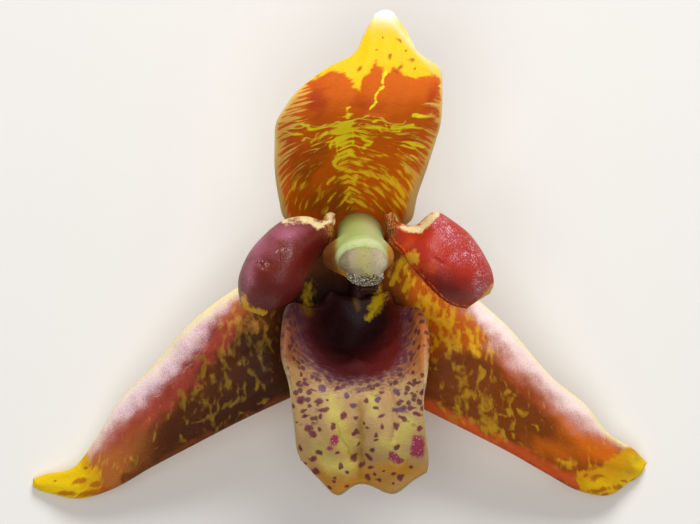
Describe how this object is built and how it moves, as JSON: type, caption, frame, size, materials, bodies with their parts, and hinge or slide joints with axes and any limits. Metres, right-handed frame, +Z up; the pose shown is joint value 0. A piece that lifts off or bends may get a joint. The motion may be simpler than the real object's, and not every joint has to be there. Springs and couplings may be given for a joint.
{
  "type": "maxillaria orchid flower",
  "caption": "Single picked maxillaria orchid bloom lying face up: hooded dorsal sepal, sweeping lateral sepals, rolled petals, spotted lip round an upright column.",
  "frame": {"origin": "on the surface the bloom lies on, under the middle of its outline seen from above", "axes": "+X across the lateral sepals to the right side of the picture, +Y towards the dorsal sepal's tip, +Z up, out of the bloom's face"},
  "size_m": [0.0391, 0.0305, 0.0141],
  "materials": {
    "stalk_green": "satin",
    "dorsal_sepal_tissue": "satin",
    "lateral_sepal_tissue": "satin",
    "petal_tissue": "satin",
    "lip_tissue": "satin",
    "column_tissue": "satin",
    "anther_cap_tissue": "satin",
    "viscidium_brown": "satin"
  },
  "bodies": {
    "root": {"ovary_pedicel": "stalk_green", "dorsal_sepal": "dorsal_sepal_tissue", "lateral_sepal_left": "lateral_sepal_tissue", "lateral_sepal_right": "lateral_sepal_tissue", "petal_left": "petal_tissue", "petal_right": "petal_tissue", "lip": "lip_tissue", "column": "column_tissue", "anther_cap": "anther_cap_tissue", "viscidium": "viscidium_brown"}
  },
  "joints": []
}
